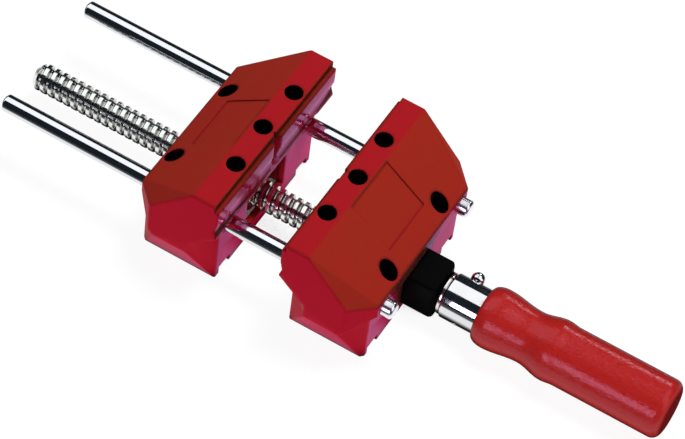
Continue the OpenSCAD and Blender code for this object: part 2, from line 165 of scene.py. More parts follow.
def blank_tree(owner: bpy.types.Material | bpy.types.World) -> bpy.types.NodeTree:
    """Empty the node tree of a new material or world.

    Args:
        owner: the material or world.

    Returns:
        Its tree.
    """
    owner.use_nodes = True
    owner.node_tree.nodes.clear()
    return owner.node_tree


@dataclass(frozen=True)
class MouldedPolyamide:
    """Polyamide moulded in a spark-eroded tool.

    The fine grain of the tool scatters the sheen, so a face looks even and satin and changes
    tone only where it turns. The colour carries painted light by which way a face looks: oblique
    faces get a warm brown tint of the top light, in random patches, and upright walls a crimson
    tint of the side light. Faces square to the spindle are smoother and keep a film of release
    wax, whose reflex at flat angles is violet; bevels that look down have a trace of it, and both
    get a magenta base tint that is a painted reflection of the lit floor. Use has polished the
    clamping faces. Painted shade darkens the inner corners, the ledge of the level groove and the
    riser of the step, and a painted shadow darkens the outer wall round the bearing and under the
    roof above it.
    Real grain is about 0.1 mm and is drawn coarser so that it shows.
    """

    name: str
    colour: str
    # Painted light tints: crimson for the side light on upright walls, warm brown for the top light
    # on oblique faces, magenta for the floor's reflection
    fresh: str
    browned: str
    bloomed: str
    film: str
    # Painted shade in corners, and painted shadow round the bearing
    grime: str
    grease: str
    roughness: float
    gloss: float
    wax_gloss: float
    ior: float = 1.53
    grain_mm: float = 0.6
    grain_rough: float = 0.05
    grain_range: Limits = (0.3, 0.7)
    cloud_mm: float = 24.0
    depth_mm: float = 0.01
    corner_mm: float = 7.0
    turn_mm: float = 2.4
    wax_smooth: float = 0.16
    thin_film: float = 0.62
    bevel_film: float = 0.3
    rough_hold: float = 0.5
    axis_mm: float = 15.7
    smear_at_mm: float = -8.0
    # Places in millimetres between which a mask rises from nought to one
    riser_mm: Limits = (55.4, 56.0)
    polish_mm: Limits = (36.0, 44.0)
    # Rim round the bearing and band under the roof where a shadow is painted
    rim_mm: Limits = (19.0, 12.0)
    smear_mm: Limits = (25.0, 14.0)
    brow_mm: Limits = (29.5, 30.5)
    outer_mm: Limits = (31.0, 32.0)
    # Parts of a face's normal, along the spindle or upwards, between which a mask rises
    square: Limits = (0.88, 0.95)
    sloping: Limits = (0.12, 0.55)
    rising: Limits = (0.2, 0.5)
    falling: Limits = (-0.2, -0.38)
    crosswise: Limits = (0.5, 0.3)
    below_roof: Limits = (0.5, 0.15)
    above_bevel: Limits = (-0.5, -0.15)
    ledge_along: Limits = (0.6, 0.9)
    ledge_up: Limits = (0.1, 0.2)
    # Cloud, openness of a corner and flatness of the view between which a mask rises
    cloudy: Limits = (-0.9, 0.7)
    hollow: Limits = (0.85, 0.45)
    flat_view: Limits = (0.35, 0.78)

    @classmethod
    def even(cls, name: str, colour: str, grime: str, roughness: float,
             gloss: float) -> "MouldedPolyamide":
        """Finish of one colour without a wax film.

        Args:
            name: name of the material.
            colour: colour of all faces.
            grime: colour of the painted shade in corners and of the painted shadow round the
                bearing.
            roughness: roughness of the tool's grain.
            gloss: specular level.

        Returns:
            The finish.
        """
        return cls(name, colour, fresh=colour, browned=colour, bloomed=colour, film="#000000",
                   grime=grime, grease=grime, roughness=roughness, gloss=gloss, wax_gloss=gloss)

    def grime_mask(self, node: NodeMaker, height: Socket, up: Socket, along: Node,
                   waxed: Node) -> Node:
        """Mask where shade is painted: the inner corners, the ledges and the riser of the step.

        Args:
            node: adds a node to the material.
            height: height of the point.
            up: how far the face looks up.
            along: how far the face looks along the spindle.
            waxed: mask of the smooth faces.

        Returns:
            The mask.
        """
        # Painted shade: darker where the surface is closed in, on ledges that look up and on the
        # riser above 55.4 mm
        corner = node("ShaderNodeAmbientOcclusion", {"Distance": self.corner_mm * MM}, samples=6,
                      only_local=True)
        held = node(RANGE, {"Value": waxed, "To Min": self.rough_hold, "To Max": 1.0})
        closed = node(RANGE, (corner.outputs["AO"], *self.hollow))
        inner = node(MATH, (closed, held), operation="MULTIPLY")
        riser = node(RANGE, (height, *metres(self.riser_mm)))
        shelf = node(MATH, (node(RANGE, (up, *self.ledge_up)), riser), operation="MAXIMUM")
        ledge = node(MATH, (node(RANGE, (along, *self.ledge_along)), shelf), operation="MULTIPLY")
        return node(MATH, (inner, ledge), operation="MAXIMUM")

    def grease_mask(self, node: NodeMaker, place: Socket, square: Node) -> Node:
        """Mask the painted shadow: a rim on the outer wall round the bearing and a band under the
        roof above it.

        Args:
            node: adds a node to the material.
            place: place of the point.
            square: mask of the faces square to the spindle.

        Returns:
            The mask.
        """
        x, y, z = node(SPLIT, (place,)).outputs
        off_axis = node("ShaderNodeMapping", {
            "Vector": place, "Location": (0.0, 0.0, -self.axis_mm * MM), "Scale": (0.0, 1.0, 1.0)})
        radius = node("ShaderNodeVectorMath", (off_axis,), operation="LENGTH").outputs["Value"]
        # Painted shadow: a rim close round the spindle's axis and a band under the roof's edge, on
        # the outer wall
        rim = node(RANGE, (radius, *metres(self.rim_mm)))
        shifted = node(MATH, (y, self.smear_at_mm * MM), operation="SUBTRACT")
        aside = node(RANGE, (node(MATH, (shifted,), operation="ABSOLUTE"), *metres(self.smear_mm)))
        smear = node(MATH, (node(RANGE, (z, *metres(self.brow_mm))), aside), operation="MULTIPLY")
        outer = node(MATH, (node(RANGE, (x, *metres(self.outer_mm))), square), operation="MULTIPLY")
        greased = node(MATH, (smear, rim), operation="MAXIMUM")
        return node(MATH, (outer, greased), operation="MULTIPLY")

    def wax_reflex(self, node: NodeMaker, filmed: Node, bump: Node) -> Node:
        """Shade the reflex of the wax film, which shows at flat angles.

        Args:
            node: adds a node to the material.
            filmed: how thick the film is.
            bump: normal of the grained surface.

        Returns:
            The shader of the reflex.
        """
        slant = node("ShaderNodeLayerWeight", {"Blend": 0.5, "Normal": bump})
        flat = node(RANGE, (slant.outputs["Facing"], *self.flat_view))
        seen = node(MATH, (filmed, flat), operation="MULTIPLY")
        colour = node(MIX, {0: seen, 6: grey(0.0), 7: linear(self.film)}, data_type="RGBA")
        return node("ShaderNodeBsdfGlossy", {
            "Color": colour.outputs[2], "Roughness": self.wax_smooth, "Normal": bump})

    def material(self) -> bpy.types.Material:
        """Make the material.

        Returns:
            The material.
        """
        made = bpy.data.materials.new(self.name)
        node = partial(add_node, blank_tree(made))
        place = node("ShaderNodeTexCoord").outputs["Object"]
        height = node(SPLIT, (place,)).outputs[2]
        cloud, grain = [
            node(NOISE, {"Vector": place, "Scale": per_metre(size)[0], "Detail": detail})
            for size, detail in ((self.cloud_mm, 3.0), (self.grain_mm, 2.0))]
        turned = node("ShaderNodeBevel", {"Radius": self.turn_mm * MM}, samples=6)
        facing = node(SPLIT, (turned,)).outputs
        along, up = node(MATH, (facing[0],), operation="ABSOLUTE"), facing[2]

        # Which way a face looks
        square = node(RANGE, (along, *self.square))
        bevel, roof, upright = [
            node(MATH, (node(RANGE, (one, *first)), node(RANGE, (two, *second))),
                 operation="MULTIPLY")
            for one, first, two, second in (
                (up, self.falling, along, self.crosswise), (along, self.sloping, up, self.rising),
                (up, self.below_roof, up, self.above_bevel))]
        # Faces square to the spindle and bevels that look down are smoother and glossier, and get a
        # magenta tint that is a painted reflection of the lit floor
        waxed = node(MATH, (square, bevel), operation="MAXIMUM")
        # Painted light: oblique faces get the warm brown tint of the top light, in random patches
        patchy = node(MATH, (roof, node(RANGE, (cloud, *self.cloudy))), operation="MULTIPLY")
        soiled = self.grime_mask(node, height, up, along, waxed)
        greased = self.grease_mask(node, place, square)

        # Colour: the moulded red, painted light tints by which way a face looks, then painted shade
        # and shadow
        tint = linear(self.colour)
        for mask, colour in ((upright, self.fresh), (patchy, self.browned), (waxed, self.bloomed),
                             (soiled, self.grime), (greased, self.grease)):
            tint = node(MIX, {0: mask, 6: tint, 7: linear(colour)}, data_type="RGBA").outputs[2]

        # Grain, polish and film
        rubbed = node(RANGE, (height, *metres(self.polish_mm)))
        polished = node(MATH, (waxed, rubbed), operation="MULTIPLY")
        gloss = node(RANGE, {"Value": polished, "To Min": self.gloss, "To Max": self.wax_gloss})
        grained = node(RANGE, (grain, *self.grain_range, self.roughness - self.grain_rough,
                               self.roughness + self.grain_rough))
        rough = node(RANGE, {"Value": square, "To Min": grained, "To Max": self.wax_smooth})
        bump = node("ShaderNodeBump", {
            "Height": grain, "Strength": 0.7, "Distance": self.depth_mm * MM, "Normal": turned})
        shader = node("ShaderNodeBsdfPrincipled", {
            "Base Color": tint, "Roughness": rough, "Specular IOR Level": gloss, "Normal": bump,
            "IOR": self.ior})
        thick = node(RANGE, {"Value": polished, "To Min": self.thin_film, "To Max": 1.0})
        trace = node(MATH, (bevel, self.bevel_film), operation="MULTIPLY")
        clung = node(MATH, (square, trace), operation="MAXIMUM")
        waxy = node(MATH, (clung, thick), operation="MULTIPLY")
        clean = node(MATH, (1.0, soiled), operation="SUBTRACT")
        filmed = node(MATH, (waxy, clean), operation="MULTIPLY")
        layered = node("ShaderNodeAddShader", (shader, self.wax_reflex(node, filmed, bump)))
        node(SURFACE, {"Surface": layered})
        return made


@dataclass(frozen=True)
class PlatedSteel:
    """Steel that was ground, turned or rolled and then plated bright.

    The plating gives a clear mirror image, and the tool marks under it blur that image a little
    along the cut. Painted shade darkens narrow hollows such as the thread's root. Real marks are
    under 0.1 mm apart and are drawn coarser so that they show.
    """

    name: str
    colour: str
    dull: str
    roughness: float
    spread: float
    mark_mm: tuple[float, float, float] = (0.5, 9.0, 9.0)
    stain_mm: float = 7.0
    depth_mm: float = 0.0006
    # Colour of the painted shade in narrow hollows, and the reach of its search
    oil: str = "#17191b"
    oil_mm: float = 2.4
    hollow: Limits = (0.8, 0.35)
    worn_range: Limits = (0.7, 1.3)

    def material(self) -> bpy.types.Material:
        """Make the material.

        Returns:
            The material.
        """
        made = bpy.data.materials.new(self.name)
        node = partial(add_node, blank_tree(made))
        place = node("ShaderNodeTexCoord").outputs["Object"]
        cut = node("ShaderNodeMapping", {"Vector": place, "Scale": per_metre(*self.mark_mm)})
        marks = node(NOISE, {"Vector": cut, "Scale": 1.0, "Detail": 3.0})
        stain = node(NOISE, {"Vector": place, "Scale": per_metre(self.stain_mm)[0], "Detail": 4.0})
        # Painted shade: the colour goes dark where the surface is closed in, as in the thread's
        # root
        corner = node("ShaderNodeAmbientOcclusion", {"Distance": self.oil_mm * MM}, samples=8,
                      only_local=True)
        oiled = node(RANGE, (corner.outputs["AO"], *self.hollow))
        tint = linear(self.colour)
        for mask, colour in ((stain, self.dull), (oiled, self.oil)):
            tint = node(MIX, {0: mask, 6: tint, 7: linear(colour)}, data_type="RGBA").outputs[2]
        worn = node(MATH, (marks, stain), operation="ADD")
        rough = node(RANGE, (worn, *self.worn_range, self.roughness - self.spread,
                             self.roughness + self.spread))
        bump = node("ShaderNodeBump", {
            "Height": marks, "Strength": 0.6, "Distance": self.depth_mm * MM})
        shader = node("ShaderNodeBsdfPrincipled", {
            "Base Color": tint, "Roughness": rough, "Normal": bump, "Metallic": 1.0})
        node(SURFACE, {"Surface": shader})
        return made


@dataclass(frozen=True)
class LacqueredBeech:
    """Turned beech stained red and dipped in red gloss lacquer.

    The film only deepens the stain; the gloss lies on the wood below it. Fine pores run along
    the handle and telegraph through, so the gloss breaks into speckled streaks along the grain.
    The end grain drinks the lacquer and stays dull. Pores are 0.3 mm wide and are drawn wider so
    that they show.
    """

    name: str = "lacquered_beech_red"
    colour: str = "#d62b28"
    pore: str = "#961b18"
    lacquer: float = 0.8
    gloss: float = 0.5
    end_gloss: float = 0.1
    reflex: str = "#ffdcfa"
    wood_ior: float = 1.41
    film_ior: float = 1.0
    roughness: float = 0.17
    dull: float = 0.9
    pore_mm: tuple[float, float, float] = (3.4, 1.0, 1.0)
    fleck_mm: tuple[float, float, float] = (1.5, 1.0, 1.0)
    depth_mm: float = 0.13
    pore_range: Limits = (0.58, 0.75)
    pore_depth: float = 0.75
    fleck_range: Limits = (0.42, 0.58)
    fleck_rough: Limits = (-0.06, 0.1)
    end_grain: Limits = (0.7, 0.95)

    def material(self) -> bpy.types.Material:
        """Make the material.

        Returns:
            The material.
        """
        made = bpy.data.materials.new(self.name)
        node = partial(add_node, blank_tree(made))
        place = node("ShaderNodeTexCoord").outputs["Object"]
        pores, flecks = [
            node(NOISE, {
                "Vector": node("ShaderNodeMapping", {"Vector": place, "Scale": per_metre(*size)}),
                "Scale": 1.0, "Detail": detail, "Roughness": 0.65})
            for size, detail in ((self.pore_mm, 4.0), (self.fleck_mm, 1.0))]
        tint = node(MIX, {
            0: node(RANGE, (pores, *self.pore_range, 0.0, self.pore_depth)),
            6: linear(self.colour), 7: linear(self.pore)}, data_type="RGBA")
        facing = node(SPLIT, (node("ShaderNodeNewGeometry").outputs["Normal"],))
        across = node(MATH, (facing,), operation="ABSOLUTE")
        smooth, coarse = (self.roughness + change for change in self.fleck_rough)
        grained = node(RANGE, (flecks, *self.fleck_range, smooth, coarse))
        rough = node(RANGE, (across, *self.end_grain, grained, self.dull))
        gloss = node(RANGE, (across, *self.end_grain, self.gloss, self.end_gloss))
        bump = node("ShaderNodeBump", {
            "Height": flecks, "Strength": 0.8, "Distance": self.depth_mm * MM})
        shader = node("ShaderNodeBsdfPrincipled", {
            "Base Color": tint.outputs[2], "Roughness": rough, "Specular IOR Level": gloss,
            "Specular Tint": linear(self.reflex), "Normal": bump, "IOR": self.wood_ior,
            "Coat Weight": 1.0, "Coat Roughness": self.roughness, "Coat Normal": bump,
            "Coat IOR": self.film_ior, "Coat Tint": grey(self.lacquer)})
        node(SURFACE, {"Surface": shader})
        return made


# The red carries painted light: a crimson tint on upright walls, a brown tint on oblique faces and
# a magenta reflex tint, then painted shade in corners and a painted shadow round the bearing
JAW_RED = MouldedPolyamide(
    "moulded_polyamide_red", colour="#af1d25", fresh="#ad1128", browned="#9f2d1e",
    bloomed="#ae0a38", film="#572d67", grime="#4a1c14", grease="#4c211c", roughness=0.34,
    gloss=0.005, wax_gloss=0.03)
# Painted shade: the peg holes' walls are a near-black red for the shade inside them; the second
# colour of each finish is the painted shade of corners
BORE_DARK = MouldedPolyamide.even("moulded_polyamide_red_bore", "#1c0506", "#050101", 0.55, 0.012)
BLOCK_BLACK = MouldedPolyamide.even("moulded_polyamide_black", "#0b0b0c", "#030303", 0.4, 0.006)
ROD_CHROME = PlatedSteel("chrome_plated_ground_bar", "#dfe1e4", "#d6d9dd", 0.07, 0.03)
FERRULE_CHROME = PlatedSteel("chrome_plated_polished_sleeve", "#e0e1e3", "#d4d6d9", 0.08, 0.04)
ROD_END = PlatedSteel("chrome_plated_turned_end", "#f0eef6", "#e2e1ea", 0.22, 0.05)
ZINC = PlatedSteel("bright_zinc_plated_steel", "#eceee8", "#d6dad8", 0.16, 0.07,
                   mark_mm=(0.4, 1.4, 1.4), stain_mm=2.2, depth_mm=0.004)
SPRING = PlatedSteel("oiled_spring_steel", "#6f7074", "#55565a", 0.32, 0.06,
                     mark_mm=(0.6, 0.6, 0.6), stain_mm=3.0, depth_mm=0.004)
LACQUER = LacqueredBeech()


def skin(name: str, rings: Sequence[Sequence[Vector]], loop: bool = False) -> bpy.types.Mesh:
    """Stretch a surface over rings of points.

    Args:
        name: name of the mesh.
        rings: rings with equal counts of points, all turning the same way.
        loop: whether the last ring joins the first; otherwise both ends are closed by a face.

    Returns:
        A closed mesh with outward faces.
    """
    shape = bmesh.new()
    rows = [[shape.verts.new(point) for point in ring] for ring in rings]
    count = len(rows[0])
    pairs = list(zip(rows, rows[1:] + rows[:1])) if loop else list(zip(rows, rows[1:]))
    for low, high in pairs:
        for i in range(count):
            j = (i + 1) % count
            shape.faces.new((low[i], low[j], high[j], high[i]))
    if not loop:
        shape.faces.new(rows[0])
        shape.faces.new(rows[-1])
    bmesh.ops.recalc_face_normals(shape, faces=shape.faces)
    mesh = bpy.data.meshes.new(name)
    shape.to_mesh(mesh)
    shape.free()
    return mesh


def ring(x: float, radius: Callable[[float], float], sides: int) -> list[Vector]:
    """Points of one ring about the X axis.

    Args:
        x: station along the axis in millimetres.
        radius: radius in millimetres at an angle in radians.
        sides: count of points.

    Returns:
        The points in metres.
    """
    turns = [FULL_TURN * i / sides for i in range(sides)]
    return [Vector((x, radius(a) * math.cos(a), radius(a) * math.sin(a))) * MM for a in turns]


def lathe(name: str, profile: Profile, sides: int = 96, loop: bool = False) -> bpy.types.Mesh:
    """Turn a profile of (station, radius) in millimetres about the X axis."""
    return skin(name, [ring(x, lambda _, r=r: r, sides) for x, r in profile], loop)


def softened(profile: Profile, size: float, steps: int = 4, loop: bool = False) -> Profile:
    """Round the corners of a profile.

    Args:
        profile: corner points in millimetres.
        size: how far along each side a rounding reaches.
        steps: points of one rounding.
        loop: whether the profile is closed.

    Returns:
        The profile with its corners rounded; open ends stay.
    """
    points = [Vector(p) for p in profile]
    out: list[Vector] = []
    for i, corner in enumerate(points):
        if not loop and i in (0, len(points) - 1):
            out.append(corner)
            continue
        before, after = points[i - 1] - corner, points[(i + 1) % len(points)] - corner
        start = corner + before.normalized() * min(size, before.length * SIDE_SHARE)
        end = corner + after.normalized() * min(size, after.length * SIDE_SHARE)
        for k in range(steps + 1):
            t = k / steps
            out.append(start.lerp(corner, t).lerp(corner.lerp(end, t), t))
    return [(p.x, p.y) for p in out]


def placed(mesh: bpy.types.Mesh, place: Vector, turn: Matrix | None = None) -> bpy.types.Mesh:
    """Move a mesh's points to a place in metres, after an optional turn."""
    mesh.transform(Matrix.Translation(place) @ (turn or Matrix.Identity(4)))
    return mesh


def joined(name: str, meshes: Sequence[bpy.types.Mesh]) -> bpy.types.Mesh:
    """Put several meshes into one, with small gaps closed and faces turned outwards.

    Args:
        name: name of the new mesh.
        meshes: meshes to use up.

    Returns:
        The new mesh.
    """
    whole = bmesh.new()
    for mesh in meshes:
        whole.from_mesh(mesh)
        bpy.data.meshes.remove(mesh)
    bmesh.ops.holes_fill(whole, edges=[e for e in whole.edges if e.is_boundary], sides=4)
    bmesh.ops.recalc_face_normals(whole, faces=whole.faces)
    result = bpy.data.meshes.new(name)
    whole.to_mesh(result)
    whole.free()
    return result


def rounded_copy(node: str, width: float, rim: float, steps: int = 3) -> bpy.types.Mesh:
    """Copy a node's solid with its outer edges rounded.

    Args:
        node: name of the node.
        width: rounding of the long edges in millimetres.
        rim: rounding of the rims of round holes and ends in millimetres.
        steps: faces across one rounding.

    Returns:
        The rounded mesh, merged and with flat faces in one piece.
    """
    shape = bmesh.new()
    shape.from_mesh(frame["nodes"][node].data)
    bmesh.ops.remove_doubles(shape, verts=shape.verts, dist=MERGE)
    bmesh.ops.dissolve_limit(shape, angle_limit=FLAT, verts=shape.verts, edges=shape.edges)
    for size, pick in ((width, partial(long_edges, width=width)), (rim, rim_edges)):
        chosen = pick(shape) if size > 0 else []
        if chosen:
            bmesh.ops.bevel(shape, geom=chosen, offset=size * MM, offset_type="OFFSET",
                            segments=steps, profile=0.5, affect="EDGES", clamp_overlap=False)
    bmesh.ops.dissolve_degenerate(shape, edges=shape.edges, dist=MERGE)
    bmesh.ops.recalc_face_normals(shape, faces=shape.faces)
    mesh = bpy.data.meshes.new(node + "_rounded")
    shape.to_mesh(mesh)
    shape.free()
    return mesh


def long_edges(shape: bmesh.types.BMesh, width: float) -> list[bmesh.types.BMEdge]:
    """Find the sharp outer edges that have room for a rounding.

    Args:
        shape: merged solid.
        width: width of the rounding in millimetres.

    Returns:
        The edges.
    """
    room = EDGE_ROOM * width * MM
    sharp = {e for e in shape.edges if e.is_manifold and e.is_convex
             and e.calc_face_angle() > SHARP and e.calc_length() > room}
    crowded = {v for e in sharp for v in e.verts
               if any(f.calc_length() < room for f in v.link_edges)}
    return [e for e in sharp if not crowded.intersection(e.verts)]


def rim_edges(shape: bmesh.types.BMesh) -> list[bmesh.types.BMEdge]:
    """Short sharp edges of the rims of round holes and ends."""
    return [e for e in shape.edges if e.is_manifold and e.is_convex
            and e.calc_length() < RIM_EDGE and e.calc_face_angle() > RIM_SHARP]


def evaluated_mesh(piece: bpy.types.Object) -> bpy.types.Mesh:
    """Apply an object's modifiers.

    Args:
        piece: object with live modifiers.

    Returns:
        A plain mesh.
    """
    bpy.context.view_layer.update()
    seen = piece.evaluated_get(bpy.context.evaluated_depsgraph_get())
    return bpy.data.meshes.new_from_object(seen)


def piece_object(name: str, mesh: bpy.types.Mesh) -> bpy.types.Object:
    """Link a mesh into the scene as an object at the origin.

    Args:
        name: name of the object.
        mesh: its mesh, already in place.

    Returns:
        The object.
    """
    piece = bpy.data.objects.new(name, mesh)
    bpy.context.scene.collection.objects.link(piece)
    return piece


def dress(piece: bpy.types.Object, finish: bpy.types.Material, body: Body, slot: Slot, *nodes: str,
          crease: float = 35.0) -> bpy.types.Object:
    """Finish a piece and tie it to the frame.

    Args:
        piece: object whose mesh is final.
        finish: its material.
        body: body that it rides on.
        slot: finish in the record; not used.
        nodes: nodes that it stands for.
        crease: angle in degrees from which an edge stays sharp.

    Returns:
        The piece.
    """
    piece.data.materials.clear()
    piece.data.materials.append(finish)
    piece.data.shade_smooth()
    piece.data.set_sharp_from_angle(angle=math.radians(crease))
    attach(piece, body.value)
    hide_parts(*nodes)
    LOG.info("%s: %d faces on %s", piece.name, len(piece.data.polygons), body.value)
    return piece


def even_normals(piece: bpy.types.Object) -> None:
    """Let large flat faces keep flat shading beside their rounded edges.

    Args:
        piece: object with rounded edges.
    """
    weigh = piece.modifiers.new("even_normals", "WEIGHTED_NORMAL")
    weigh.mode = "FACE_AREA"
    weigh.weight = 100
    weigh.keep_sharp = True


def run_tree(name: str, tree: bpy.types.NodeTree, values: dict[str, object]) -> bpy.types.Mesh:
    """Run a node tree with its named inputs and keep the result.

    Args:
        name: name of the mesh.
        tree: geometry tree with named inputs.
        values: value of each named input.

    Returns:
        The mesh that the tree makes.
    """
    carrier = piece_object(name, bpy.data.meshes.new(name))
    step = carrier.modifiers.new(name, "NODES")
    step.node_group = tree
    for item in tree.interface.items_tree:
        if item.item_type == "SOCKET" and item.in_out == "INPUT" and item.name in values:
            step[item.identifier] = values[item.name]
    mesh = evaluated_mesh(carrier)
    bpy.data.objects.remove(carrier)
    mesh.name = name
    return mesh


def start_tree(name: str, inputs: dict[str, str]) -> tuple[bpy.types.NodeTree, Node]:
    """Start a geometry tree with named inputs and one mesh output.

    Args:
        name: name of the tree.
        inputs: socket type of each named input.

    Returns:
        The tree and its input node.
    """
    tree = bpy.data.node_groups.new(name, "GeometryNodeTree")
    for label, kind in inputs.items():
        tree.interface.new_socket(label, in_out="INPUT", socket_type=kind)
    tree.interface.new_socket("Mesh", in_out="OUTPUT", socket_type="NodeSocketGeometry")
    return tree, add_node(tree, "NodeGroupInput")


def end_tree(node: NodeMaker, shape: Node, finish: Socket) -> None:
    """Make a tree's result real, give it its material and hand it out.

    Args:
        node: adds a node to the tree.
        shape: last node of the shape.
        finish: input that holds the material.
    """
    real = node("GeometryNodeRealizeInstances", (shape,))
    done = node("GeometryNodeSetMaterial", {"Geometry": real, "Material": finish})
    node("NodeGroupOutput", (done,))


def thread_tree() -> bpy.types.NodeTree:
    """Build the tree of a rolled thread: a grid wound on its own helix, closed at both ends.

    Returns:
        The tree, with the thread's sizes as named inputs.
    """
    number, whole = "NodeSocketFloat", "NodeSocketInt"
    tree, given = start_tree("rolled_thread", {
        "Length": number, "Pitch": number, "Crest Radius": number, "Root Radius": number,
        "Tip Radius": number, "Turns": whole, "Rows": whole, "Sides": whole,
        "Place": "NodeSocketVector", "Finish": "NodeSocketMaterial"})
    node, size = partial(add_node, tree), given.outputs
    grid = node("GeometryNodeMeshGrid", {
        "Size X": 1.0, "Size Y": 1.0, "Vertices X": size["Rows"],
        "Vertices Y": node(MATH, (size["Sides"], 1.0), operation="ADD")})
    spot = node(SPLIT, (node("GeometryNodeInputPosition"),)).outputs
    down, around = [node(MATH, (spot[axis], 0.5), operation="ADD") for axis in (0, 1)]

    # Going once round the grid moves on by one pitch
    turn = node(MATH, (down, size["Turns"]), operation="MULTIPLY")
    wound = node(MATH, (turn, node(MATH, (around, 1.0), operation="SUBTRACT")), operation="ADD")
    along = node("ShaderNodeClamp", (
        node(MATH, (wound, size["Pitch"]), operation="MULTIPLY"), 0.0, size["Length"]))

    # Rounded ridge: a clipped wave along the pitch, eased at its shoulders
    wave = node(MATH, (node(MATH, (turn, FULL_TURN), operation="MULTIPLY"),), operation="COSINE")
    ridge = node(RANGE, (wave, *RIDGE_WAVE), **SOFT)
    left = node(MATH, (size["Length"], along), operation="SUBTRACT")
    run_out = node(RANGE, (left, 0.0, size["Pitch"], 1.0, 0.0), **SOFT)
    height = node(MATH, (ridge, run_out), operation="MAXIMUM")
    depth = node(MATH, (size["Crest Radius"], size["Root Radius"]), operation="SUBTRACT")
    full = node(MATH, (height, depth, size["Root Radius"]), operation="MULTIPLY_ADD")
    cone = node(MATH, (size["Tip Radius"], along), operation="ADD")
    radius = node(MATH, (full, cone), operation="MINIMUM")

    # The first and the last row shrink to a point on the axis
    begun = node(MATH, (down, POLE), operation="GREATER_THAN")
    ahead = node(MATH, (down, 1 - POLE), operation="LESS_THAN")
    inside = node(MATH, (begun, ahead), operation="MULTIPLY")
    reach = node(MATH, (radius, inside), operation="MULTIPLY")
    angle = node(MATH, (around, FULL_TURN), operation="MULTIPLY")
    across, upwards = [
        node(MATH, (reach, node(MATH, (angle,), operation=part)), operation="MULTIPLY")
        for part in ("COSINE", "SINE")]
    point = node("ShaderNodeCombineXYZ", (along, across, upwards))
    moved = node("GeometryNodeSetPosition", {"Geometry": grid, "Position": point})
    closed = node("GeometryNodeMergeByDistance", {"Geometry": moved, "Distance": MERGE})
    put = node("GeometryNodeTransform", {"Geometry": closed, "Translation": size["Place"]})
    end_tree(node, put, size["Finish"])
    return tree


def screw_tree() -> bpy.types.NodeTree:
    """Build the tree that sets a pattern of like screws.

    Returns:
        The tree, with the pattern's sizes as named inputs.
    """
    number = "NodeSocketFloat"
    tree, given = start_tree("screw_pattern", {
        "Screw": "NodeSocketObject", "Across": number, "Up": number, "Rows": "NodeSocketInt",
        "Place": "NodeSocketVector", "Turn": "NodeSocketRotation", "Finish": "NodeSocketMaterial"})
    node, size = partial(add_node, tree), given.outputs
    grid = node("GeometryNodeMeshGrid", {
        "Size X": size["Up"], "Size Y": size["Across"], "Vertices X": size["Rows"],
        "Vertices Y": 2})
    stood = node("GeometryNodeTransform", {
        "Geometry": grid, "Translation": size["Place"], "Rotation": (0.0, -math.pi / 2, 0.0)})
    screw = node("GeometryNodeObjectInfo", {"Object": size["Screw"]})
    spread = node("GeometryNodeInstanceOnPoints", {
        "Points": stood, "Instance": screw.outputs["Geometry"], "Rotation": size["Turn"]})
    end_tree(node, spread, size["Finish"])
    return tree


def centre(node: str) -> Vector:
    """Middle of a node's box."""
    low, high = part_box(node)
    return (low + high) / 2


@dataclass
class Jaw:
    """One hollow moulded jaw."""

    node: str
    body: Body
    edge: float = 0.3
    hole_rim: float = 0.2
    bore_fit: float = 0.06

    def build(self) -> bpy.types.Object:
        """Round the moulded edges of the housing."""
        mesh = rounded_copy(self.node, self.edge, self.hole_rim)
        return piece_object(self.node + "_housing", mesh)

    def darken_bores(self, housing: bpy.types.Object, finish: bpy.types.Material) -> None:
        """Give the walls of the peg holes a near-black finish, painted shade for the inside of the
        holes.

        Args:
            housing: the jaw's piece.
            finish: material of the bores.
        """
        housing.data.materials.append(finish)
        bores = [m for m in frame["record"]["mounts"]
                 if m["kind"] == "bore" and m["name"].startswith(self.node.split("_")[0])]
        axes = [(Vector(bore["pos_m"]).to_2d(), bore["dims"]["r_mm"] * MM) for bore in bores]
        for face in housing.data.polygons:
            corners = [housing.data.vertices[i].co.to_2d() for i in face.vertices]
            for axis, radius in axes:
                off = [abs((corner - axis).length - radius) for corner in corners]
                if max(off) < self.bore_fit * MM:
                    face.material_index = 1

    def dress(self, finish: bpy.types.Material, bore_finish: bpy.types.Material) -> None:
        """Give the housing its finishes and its place in the frame.

        Args:
            finish: material of the housing.
            bore_finish: material of the peg holes, near-black as painted shade.
        """
        housing = dress(self.build(), finish, self.body, Slot.JAW, self.node)
        self.darken_bores(housing, bore_finish)
        even_normals(housing)


